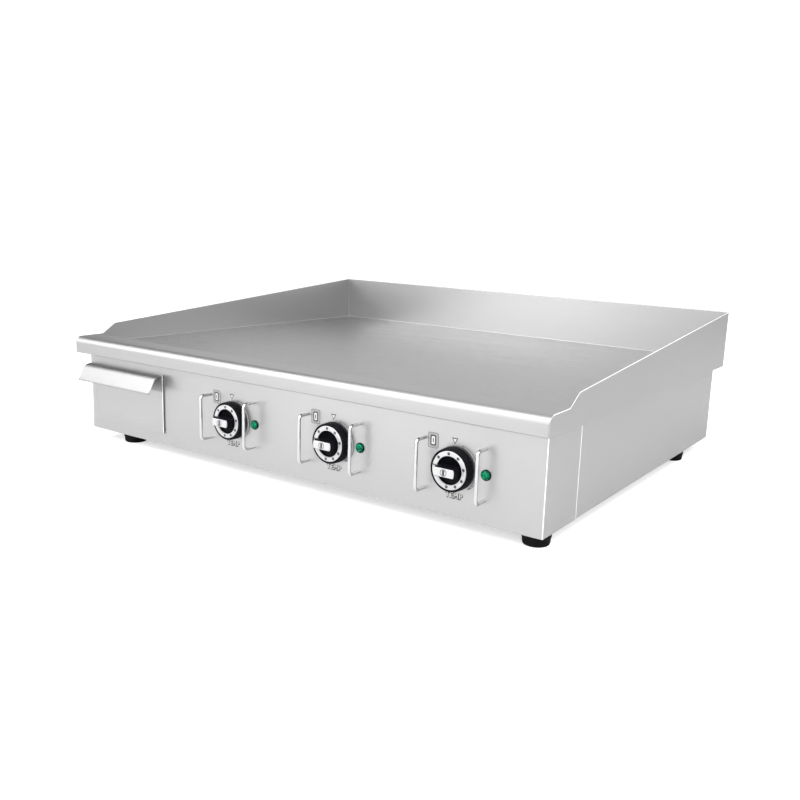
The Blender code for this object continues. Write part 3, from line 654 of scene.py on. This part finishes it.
def drawer_face(materials):
    """The drawer's shallow face pan, with painted highlights down its side edges (thin hems of the pale
    highlight steel) and two faint raised creases with painted shade.
    """
    bm = bmesh.new()
    add_box(bm, DRAWER_LOW, DRAWER_HIGH)
    name = "drawer_face"
    face = piece(name, bm, materials["body"], "drip_drawer", ["drawer_front"], 0.0009)
    hollow = bmesh.new()
    wall = Vector((SHEET, SHEET, SHEET))
    add_box(hollow, DRAWER_LOW + wall, DRAWER_HIGH - Vector((SHEET, -SHEET, SHEET)))
    cut(face, hollow)
    tall = DRAWER_HIGH.z - DRAWER_LOW.z
    hem = 0.0006
    end_gap = 0.0002
    length = tall - 2 * end_gap
    # Painted highlight: thin hems of the pale highlight steel down the face's side edges.
    hems = bmesh.new()
    for x in (DRAWER_LOW.x + hem, DRAWER_HIGH.x - 0.0005):
        foot = Vector((x, DRAWER_LOW.y + 0.0005, DRAWER_LOW.z + end_gap))
        add_lathe(hems, [(0, 0), (hem, 0), (hem, length), (0, length)], foot, UP, 24)
    piece("drawer_face_painted_highlights", hems, materials["edge"], "drip_drawer")
    # The creases are real raised lines. Their darker inside steel adds painted shade along them.
    crease = 0.0007
    inner_x = DRAWER_LOW.x + 0.0125
    inner_z = DRAWER_LOW.z + 0.0105
    creases = bmesh.new()
    elbow = Vector((inner_x, DRAWER_LOW.y + 0.0003, inner_z))
    for way, length in ((UP, tall - 0.0300), (RIGHT, DRAWER_HIGH.x - inner_x - 0.0120)):
        add_lathe(creases, [(0, 0), (crease, 0), (crease, length), (0, length)], elbow, way, 16)
    piece("drawer_face_creases", creases, materials["inside"], "drip_drawer")


def drawer_pull(materials):
    """The drawer's pull, bent out of one sheet over the face's top edge, down to a hemmed lip."""
    back = PULL_HIGH.y
    lip = Vector((PULL_LOW.y, BASE_Z + 0.0910))
    path = [
        (back, lip.y),
        (back, PULL_HIGH.z),
        (FRONT_Y - 0.0175, PULL_HIGH.z - 0.0020),
        (FRONT_Y - 0.0262, BASE_Z + 0.0990),
        lip,
    ]
    outline = bent_sheet(rounded(path, [0.002, 0.012, 0.008], 14), SHEET)
    along = RIGHT * (PULL_HIGH.x - PULL_LOW.x)
    bm = bmesh.new()
    add_prism(bm, [Vector((PULL_LOW.x, point.x, point.y)) for point in outline], along)
    # The pull's steel carries painted shade: a darker copy of the body steel.
    piece("drawer_pull", bm, materials["pull"], "drip_drawer", ["drawer_handle"], 0.0003)
    hem = 0.0011
    start = Vector((PULL_LOW.x + 0.0002, lip.x + 0.0009, lip.y + 0.0003))
    bm = bmesh.new()
    length = along.length - 0.0004
    add_lathe(bm, [(0, 0), (hem, 0), (hem, length), (0, length)], start, RIGHT, 24)
    piece("drawer_pull_hem", bm, materials["pull"], "drip_drawer")


# Controls


def grip_outline(centre, half_length, half_width, steps=10):
    """A bar with ends that follow the circle of its half length, and small corner radii."""
    reach = math.asin(half_width / half_length)
    angles = [reach * (j / (steps / 2) - 1) for j in range(steps + 1)]
    one_end = [Vector((half_length * math.cos(a), 0, half_length * math.sin(a))) for a in angles]
    return [centre + point for point in one_end] + [centre - point for point in one_end]


def knob(i, materials):
    """A fluted black dial with a dish, a grip bar across it, a bright dial ring and a bright bar cap."""
    centre = KNOB_AT[i]
    body = f"knob_{i + 1}"
    ring_low, ring_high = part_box(f"{body}_ring")
    cap_low, cap_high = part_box(f"{body}_cap")
    ring_outer = (ring_high.z - ring_low.z) / 2 - 0.0006
    ring_inner = ring_outer - 0.0068
    skirt = KNOB_RADIUS + 0.0005
    ring_top = FRONT_Y - ring_low.y
    cap_top = FRONT_Y - cap_low.y
    face = ring_top - 0.0006
    dish = 0.0095
    cap_thickness = 0.0022
    flutes = 48

    def fluted(radius, height, angle):
        deep = 0.0006 if radius > skirt - 0.0006 and 0.003 < height < face - 0.0005 else 0
        return radius - deep * (0.5 - 0.5 * math.cos(flutes * angle)) ** 2

    dial = bmesh.new()
    profile = [
        (0, 0.0015),
        (skirt - 0.0004, 0.0015),
        (skirt, 0.0019),
        (skirt, 0.0034),
        (skirt - 0.0003, face - 0.0020),
        (skirt - 0.0005, face - 0.0008),
        (skirt - 0.0009, face - 0.0002),
        (skirt - 0.0014, face),
        (ring_outer + 0.0002, face),
        (ring_outer + 0.0002, face - 0.0007),
        (ring_inner - 0.0002, face - 0.0007),
        (ring_inner - 0.0006, face - 0.0010),
        (ring_inner - 0.0008, dish + 0.0006),
        (ring_inner - 0.0014, dish),
        (0, dish),
    ]
    add_lathe(dial, profile, centre, OUT, 8 * flutes, fluted)
    piece(f"{body}_skirt", dial, materials["black"], body, [f"{body}_dial"], sharp=50)
    grip = bmesh.new()
    half_length = (cap_high.x - cap_low.x) / 2
    half_width = (cap_high.z - cap_low.z) / 2
    base = centre + OUT * (dish - 0.0005)
    outline = grip_outline(base, half_length + 0.0010, half_width + 0.0011)
    add_prism(grip, outline, OUT * (cap_top - cap_thickness - dish))
    piece(f"{body}_grip", grip, materials["black"], body, bevel=0.0004)
    ring = bmesh.new()
    low = face - 0.0006
    chamfer = 0.0005
    section = [
        (ring_inner, low),
        (ring_inner, ring_top - chamfer),
        (ring_inner + chamfer, ring_top),
        (ring_outer - chamfer, ring_top),
        (ring_outer, ring_top - chamfer),
        (ring_outer, low),
        (ring_inner, low),
    ]
    add_lathe(ring, section, centre, OUT, 128)
    bmesh.ops.remove_doubles(ring, verts=ring.verts, dist=1e-6)
    piece(f"{body}_scale_ring", ring, materials["ring"], body, [f"{body}_ring"])
    cap = bmesh.new()
    cap_foot = centre + OUT * (cap_top - cap_thickness)
    add_prism(cap, grip_outline(cap_foot, half_length, half_width), OUT * cap_thickness)
    piece(f"{body}_bar_cap", cap, materials["ring"], body, [f"{body}_cap"], 0.0007)
    scale_marks(body, centre, (ring_inner + ring_outer) / 2, ring_top, materials)
    cap_marks(body, centre, cap_top, materials)


def scale_marks(body, centre, radius, top, materials):
    """Dots on the dial ring at the heat steps, with a longer mark where it is off."""
    dot = 0.0021
    raised = 0.00018
    dot_angles = (137, 93, 54, 12, -28, -62, -97)
    profile = [(0, 0), (dot, 0), (dot, raised * 0.7), (dot * 0.8, raised), (0, raised)]
    bm = bmesh.new()
    for angle in dot_angles:
        turn = math.radians(angle)
        place = centre + Vector((radius * math.cos(turn), 0, radius * math.sin(turn))) + OUT * top
        add_lathe(bm, profile, place, OUT, 20)
    off = centre + Vector((-radius, 0, 0.0045)) + OUT * top
    half_mark = Vector((0.0026, raised, 0.0008))
    add_box(bm, off - half_mark, off + half_mark)
    piece(f"{body}_scale_dots", bm, materials["dark_ink"], body)


def cap_marks(body, centre, top, materials):
    """A short index line inside a thin oval, on the bar's cap."""
    across = 0.0050
    tall = 0.0048
    line = 0.0008
    raised = 0.00015
    steps = 40
    middle = centre + OUT * top
    oval = bmesh.new()
    ring = []
    for k in range(steps):
        angle = math.tau * k / steps
        outer = Vector((math.cos(angle) * across, -raised, math.sin(angle) * tall))
        inner = Vector((math.cos(angle) * (across - line), -raised, math.sin(angle) * (tall - line)))
        ring.append((oval.verts.new(middle + inner), oval.verts.new(middle + outer)))
    for (a, b), (c, d) in zip(ring, ring[1:] + ring[:1]):
        oval.faces.new((a, b, d, c))
    lifted = bmesh.ops.extrude_face_region(oval, geom=oval.faces[:])["geom"]
    moved = [item for item in lifted if isinstance(item, bmesh.types.BMVert)]
    bmesh.ops.translate(oval, verts=moved, vec=-OUT * raised * 2)
    piece(f"{body}_index_oval", oval, materials["dark_ink"], body)
    index = bmesh.new()
    half = Vector((0.0017, raised, 0.0035))
    add_box(index, middle - half, middle + half)
    piece(f"{body}_index_mark", index, materials["dark_ink"], body)


def wire_guards(i, materials):
    """Two U-shaped bright wires that stand out of the panel beside the knob."""
    for word in ("left", "right"):
        low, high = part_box(f"knob_guard_{i + 1}_{word}")
        radius = (high.x - low.x) / 2
        x = (low.x + high.x) / 2
        ends = (high.z - radius, low.z + radius)
        front = low.y + radius
        path = [
            Vector((x, high.y, ends[0])),
            Vector((x, front, ends[0])),
            Vector((x, front, ends[1])),
            Vector((x, high.y, ends[1])),
        ]
        name = f"wire_guard_{i + 1}_{word}"
        points = rounded(path, [0.006] * 2, 14)
        rod(name, points, radius, materials["wire"], "body", [f"knob_guard_{i + 1}_{word}"])


def pilot_lamp(i, materials):
    """A domed green lens with moulded ribs inside a thin black rim."""
    low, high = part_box(f"pilot_lens_{i + 1}")
    centre = Vector(((low.x + high.x) / 2, FRONT_Y, (low.z + high.z) / 2))
    radius = (high.z - low.z) / 2
    top = FRONT_Y - low.y
    rim = bmesh.new()
    rim_profile = [
        (radius - 0.0011, 0.0003),
        (radius, 0.0003),
        (radius, 0.0009),
        (radius - 0.0003, 0.0014),
        (radius - 0.0008, 0.0016),
        (radius - 0.0011, 0.0014),
        (radius - 0.0011, 0.0003),
    ]
    add_lathe(rim, rim_profile, centre, OUT, 64)
    bmesh.ops.remove_doubles(rim, verts=rim.verts, dist=1e-6)
    piece(f"lamp_{i + 1}_rim", rim, materials["black"], "body")
    lens = bmesh.new()
    wide = radius - 0.0012
    facets = 12

    def ribbed(reach, height, angle):
        return reach * (1 - 0.045 * (0.5 + 0.5 * math.cos(facets * angle)))

    steps = 10
    profile = [(0, 0.0004), (wide, 0.0004), (wide, 0.0014)]
    for k in range(1, steps):
        angle = math.pi / 2 * k / steps
        profile.append((wide * math.cos(angle), 0.0014 + (top - 0.0014) * math.sin(angle)))
    profile.append((0, top))
    add_lathe(lens, profile, centre, OUT, 72, ribbed)
    name = f"lamp_{i + 1}_lens"
    piece(name, lens, materials["lens"], "body", [f"pilot_lens_{i + 1}"], sharp=60)


def arc_band(bm, centre, angles, inner, outer, depth, steps=28):
    """A flat band round a centre on the panel, from one angle to another, with a changing width."""
    rows = []
    for k in range(steps + 1):
        share = k / steps
        angle = angles[0] + (angles[1] - angles[0]) * share
        way = Vector((math.cos(math.radians(angle)), 0, math.sin(math.radians(angle))))
        rows.append((centre + way * inner(angle), centre + way * outer(angle)))
    outline = [a for a, b in rows] + [b for a, b in reversed(rows)]
    add_prism(bm, outline, OUT * depth)


def panel_marks(i, materials):
    """The printed marks round a knob: a pointer, a swelling heat band, a switch sign and a word."""
    centre = KNOB_AT[i]
    thin = 0.00008
    dark = bmesh.new()
    pale = bmesh.new()
    light = bmesh.new()
    pointer = centre + Vector((-0.0012, 0, 0.0372))
    for bm, half, depth in ((dark, 0.0048, thin), (light, 0.0027, thin * 2)):
        shift = Vector((0, 0, 0.0003)) if bm is light else Vector()
        corners = [Vector((-half, 0, half * 0.85)), Vector((0, 0, -half)), Vector((half, 0, half * 0.85))]
        add_prism(bm, [pointer + shift + corner for corner in corners], OUT * depth)
    line = 0.0007
    start = KNOB_RADIUS + 0.0026
    first, last = 72, -52
    ground = (70, -42)

    def wide(angle):
        """The band's width: it swells from its start and comes to a point at its end."""
        share = (first - angle) / (first - last)
        return (0.0030 + 0.0028 * share) * min(1.0, (1 - share) / 0.3) ** 0.6

    arc_band(dark, centre, (first, last), lambda a: start, lambda a: start + wide(a), thin)
    arc_band(pale, centre, ground, lambda a: start + line, lambda a: start + wide(a) - line, thin * 2)
    sign = centre + Vector((-0.0350, 0, 0.0325))
    rounds = (
        (dark, 0.0084, 0.0106, 0.0028, thin),
        (pale, 0.0078, 0.0100, 0.0024, thin * 2),
        (dark, 0.0046, 0.0074, 0.0022, thin * 3),
        (light, 0.0026, 0.0054, 0.0012, thin * 4),
        (dark, 0.0008, 0.0030, 0.0004, thin * 5),
    )
    for bm, half_x, half_z, bend, depth in rounds:
        path = [Vector((-half_x, 0)), Vector((-half_x, -half_z)), Vector((half_x, -half_z))]
        path += [Vector((half_x, half_z)), Vector((-half_x, half_z)), Vector((-half_x, 0))]
        outline = rounded(path, [bend] * 4, 6)[:-1]
        add_prism(bm, [sign + Vector((point.x, 0, point.y)) for point in outline], OUT * depth)
    piece(f"panel_{i + 1}_mark_grounds", pale, materials["pale_ink"], "body")
    piece(f"panel_{i + 1}_mark_outlines", dark, materials["dark_ink"], "body")
    piece(f"panel_{i + 1}_mark_fills", light, materials["light_ink"], "body")
    printed_word(i, centre + Vector((0.0005, 0, -0.0405)), thin, materials)


def printed_word(i, place, thin, materials):
    """The generic word under a knob: pale letters over a slightly fuller dark copy, shifted down and right
    as a painted drop shadow.
    """
    layers = (
        ("shadow", 0.0009, thin, "dark_ink", Vector((0.0004, 0, -0.0005))),
        ("face", 0.0, thin * 2, "light_ink", Vector()),
    )
    for label, grow, depth, key, shift in layers:
        text = bpy.data.curves.new(f"panel_{i + 1}_word_{label}", "FONT")
        text.body = "TEMP"
        text.size = 0.0105
        text.offset = grow
        text.extrude = depth / 2
        text.align_x = "CENTER"
        text.space_character = 1.08
        text.materials.append(materials[key])
        obj = bpy.data.objects.new(text.name, text)
        obj.rotation_euler = (math.pi / 2, 0, 0)
        obj.location = place + shift + OUT * depth / 2
        bpy.context.scene.collection.objects.link(obj)
        attach(obj, "body")


# The CAD nodes that stay


def finish_cad_nodes(materials):
    """Every CAD node that still shows gets its full material."""
    by_slot = {
        "brushed_steel": "inside",
        "polished_steel": "nosing",
        "ground_plate_steel": "plate",
        "chrome": "chrome",
        "tube_and_spindle_steel": "tube",
        "element_sheath": "element",
        "black_phenolic": "black",
        "green_lens": "lens",
        "black_rubber": "rubber",
        "ceramic_fibre": "fibre",
        "grey_plastic": "grey",
    }
    for subpart in frame["record"]["subparts"]:
        obj = frame["nodes"][subpart["node"]]
        material = materials[by_slot[subpart["material_slot"]]]
        for slot in obj.material_slots:
            slot.material = material


# Studio


def area_light(name, azimuth, elevation, distance, size, power):
    """A square soft light aimed at the griddle. Azimuth 0 is in front of it and 90 on its right."""
    turn = math.radians(azimuth)
    rise = math.radians(elevation)
    way = Vector((math.sin(turn) * math.cos(rise), -math.cos(turn) * math.cos(rise), math.sin(rise)))
    data = bpy.data.lights.new(name, "AREA")
    data.shape = "SQUARE"
    data.size = size
    data.energy = power
    light = bpy.data.objects.new(name, data)
    light.location = Vector((0, 0, 0.15)) + way * distance
    light.rotation_mode = "QUATERNION"
    light.rotation_quaternion = (-way).to_track_quat("-Z", "Y")
    bpy.context.scene.collection.objects.link(light)


def studio():
    """A white surround with two soft dark flags that draw the bright metal's edges, and the soft lights."""
    bpy.context.scene.view_settings.view_transform = "Standard"
    world = bpy.data.worlds.new("Studio")
    world.use_nodes = True
    bpy.context.scene.world = world
    tree = world.node_tree
    background = tree.nodes["Background"]
    background.inputs["Color"].default_value = (1, 1, 1, 1)

    def maths(operation, *values):
        node = tree.nodes.new("ShaderNodeMath")
        node.operation = operation
        for socket, value in zip(node.inputs, values):
            if isinstance(value, (int, float)):
                socket.default_value = value
            else:
                tree.links.new(value, socket)
        return node.outputs["Value"]

    def ramp(value, start, end, low, high):
        node = tree.nodes.new("ShaderNodeMapRange")
        node.interpolation_type = "SMOOTHSTEP"
        for name, number in (("From Min", start), ("From Max", end), ("To Min", low), ("To Max", high)):
            node.inputs[name].default_value = number
        tree.links.new(value, node.inputs["Value"])
        return node.outputs["Result"]

    split = tree.nodes.new("ShaderNodeSeparateXYZ")
    tree.links.new(tree.nodes.new("ShaderNodeTexCoord").outputs["Generated"], split.inputs["Vector"])
    front = maths("MULTIPLY", split.outputs["Y"], -1)
    azimuth = maths("MULTIPLY", maths("ARCTAN2", split.outputs["X"], front), math.degrees(1))
    low_down = ramp(split.outputs["Z"], *FLAG_FADE, 1, 0)
    dark = 0
    for start, end in FLAGS:
        starts = ramp(azimuth, start - FLAG_BLUR, start + FLAG_BLUR, 0, 1)
        ends = ramp(azimuth, end - FLAG_BLUR, end + FLAG_BLUR, 0, 1)
        dark = maths("ADD", maths("SUBTRACT", starts, ends), dark)
    shade = maths("MULTIPLY", dark, low_down)
    glow = maths("MULTIPLY", maths("SUBTRACT", 1, shade), WORLD_STRENGTH)
    seen = tree.nodes.new("ShaderNodeLightPath").outputs["Is Camera Ray"]
    plain = maths("MULTIPLY", maths("SUBTRACT", 1, seen), glow)
    backdrop = maths("MULTIPLY", seen, BACKDROP)
    tree.links.new(maths("ADD", backdrop, plain), background.inputs["Strength"])
    for light in SOFTBOXES:
        area_light(*light)


def white_floor():
    """A wide pale floor, which the camera sees lifted to white."""
    half_size = 40
    floor_mesh = bpy.data.meshes.new("Floor")
    bm = bmesh.new()
    bmesh.ops.create_grid(bm, x_segments=1, y_segments=1, size=half_size)
    bm.to_mesh(floor_mesh)
    bm.free()
    nodes = Nodes("Floor_White")
    nodes.set(Base_Color=(0.72, 0.72, 0.72, 1), Roughness=1.0, Specular_IOR_Level=0.0)
    nodes.set(Emission_Color=(1, 1, 1, 1))
    lift = nodes.maths("MULTIPLY", nodes.add("ShaderNodeLightPath").outputs["Is Camera Ray"], FLOOR_GLOW)
    nodes.link(lift, nodes.shader.inputs["Emission Strength"])
    floor_mesh.materials.append(nodes.material)
    floor = bpy.data.objects.new("Floor", floor_mesh)
    bpy.context.scene.collection.objects.link(floor)


def camera():
    """A slightly rolled camera at the front right, above the griddle's top."""
    azimuth = 0.5698
    elevation = 0.2030
    roll = 0.0403
    data = bpy.data.cameras.new("Camera")
    data.lens = 38.857
    data.sensor_width = 36
    data.shift_x = -0.05
    cam = bpy.data.objects.new("Camera", data)
    turn = Matrix.Rotation(azimuth, 4, "Z") @ Matrix.Rotation(math.pi / 2 - elevation, 4, "X")
    place = Matrix.Translation((0.8890, FRONT_Y - 0.9360, BASE_Z + 0.3850))
    cam.matrix_world = place @ turn @ Matrix.Rotation(roll, 4, "Z")
    bpy.context.scene.collection.objects.link(cam)
    bpy.context.scene.camera = cam


def main():
    materials = make_materials()
    camera()
    studio()
    white_floor()
    front_panel(materials)
    side_panel("left", -1, materials)
    side_panel("right", 1, materials)
    nosing(materials)
    splash_guards(materials)
    plate(materials)
    weld_fillets(materials)
    feet(materials)
    drawer_face(materials)
    drawer_pull(materials)
    for i in range(ZONES):
        knob(i, materials)
        wire_guards(i, materials)
        pilot_lamp(i, materials)
        panel_marks(i, materials)
    finish_cad_nodes(materials)


main()
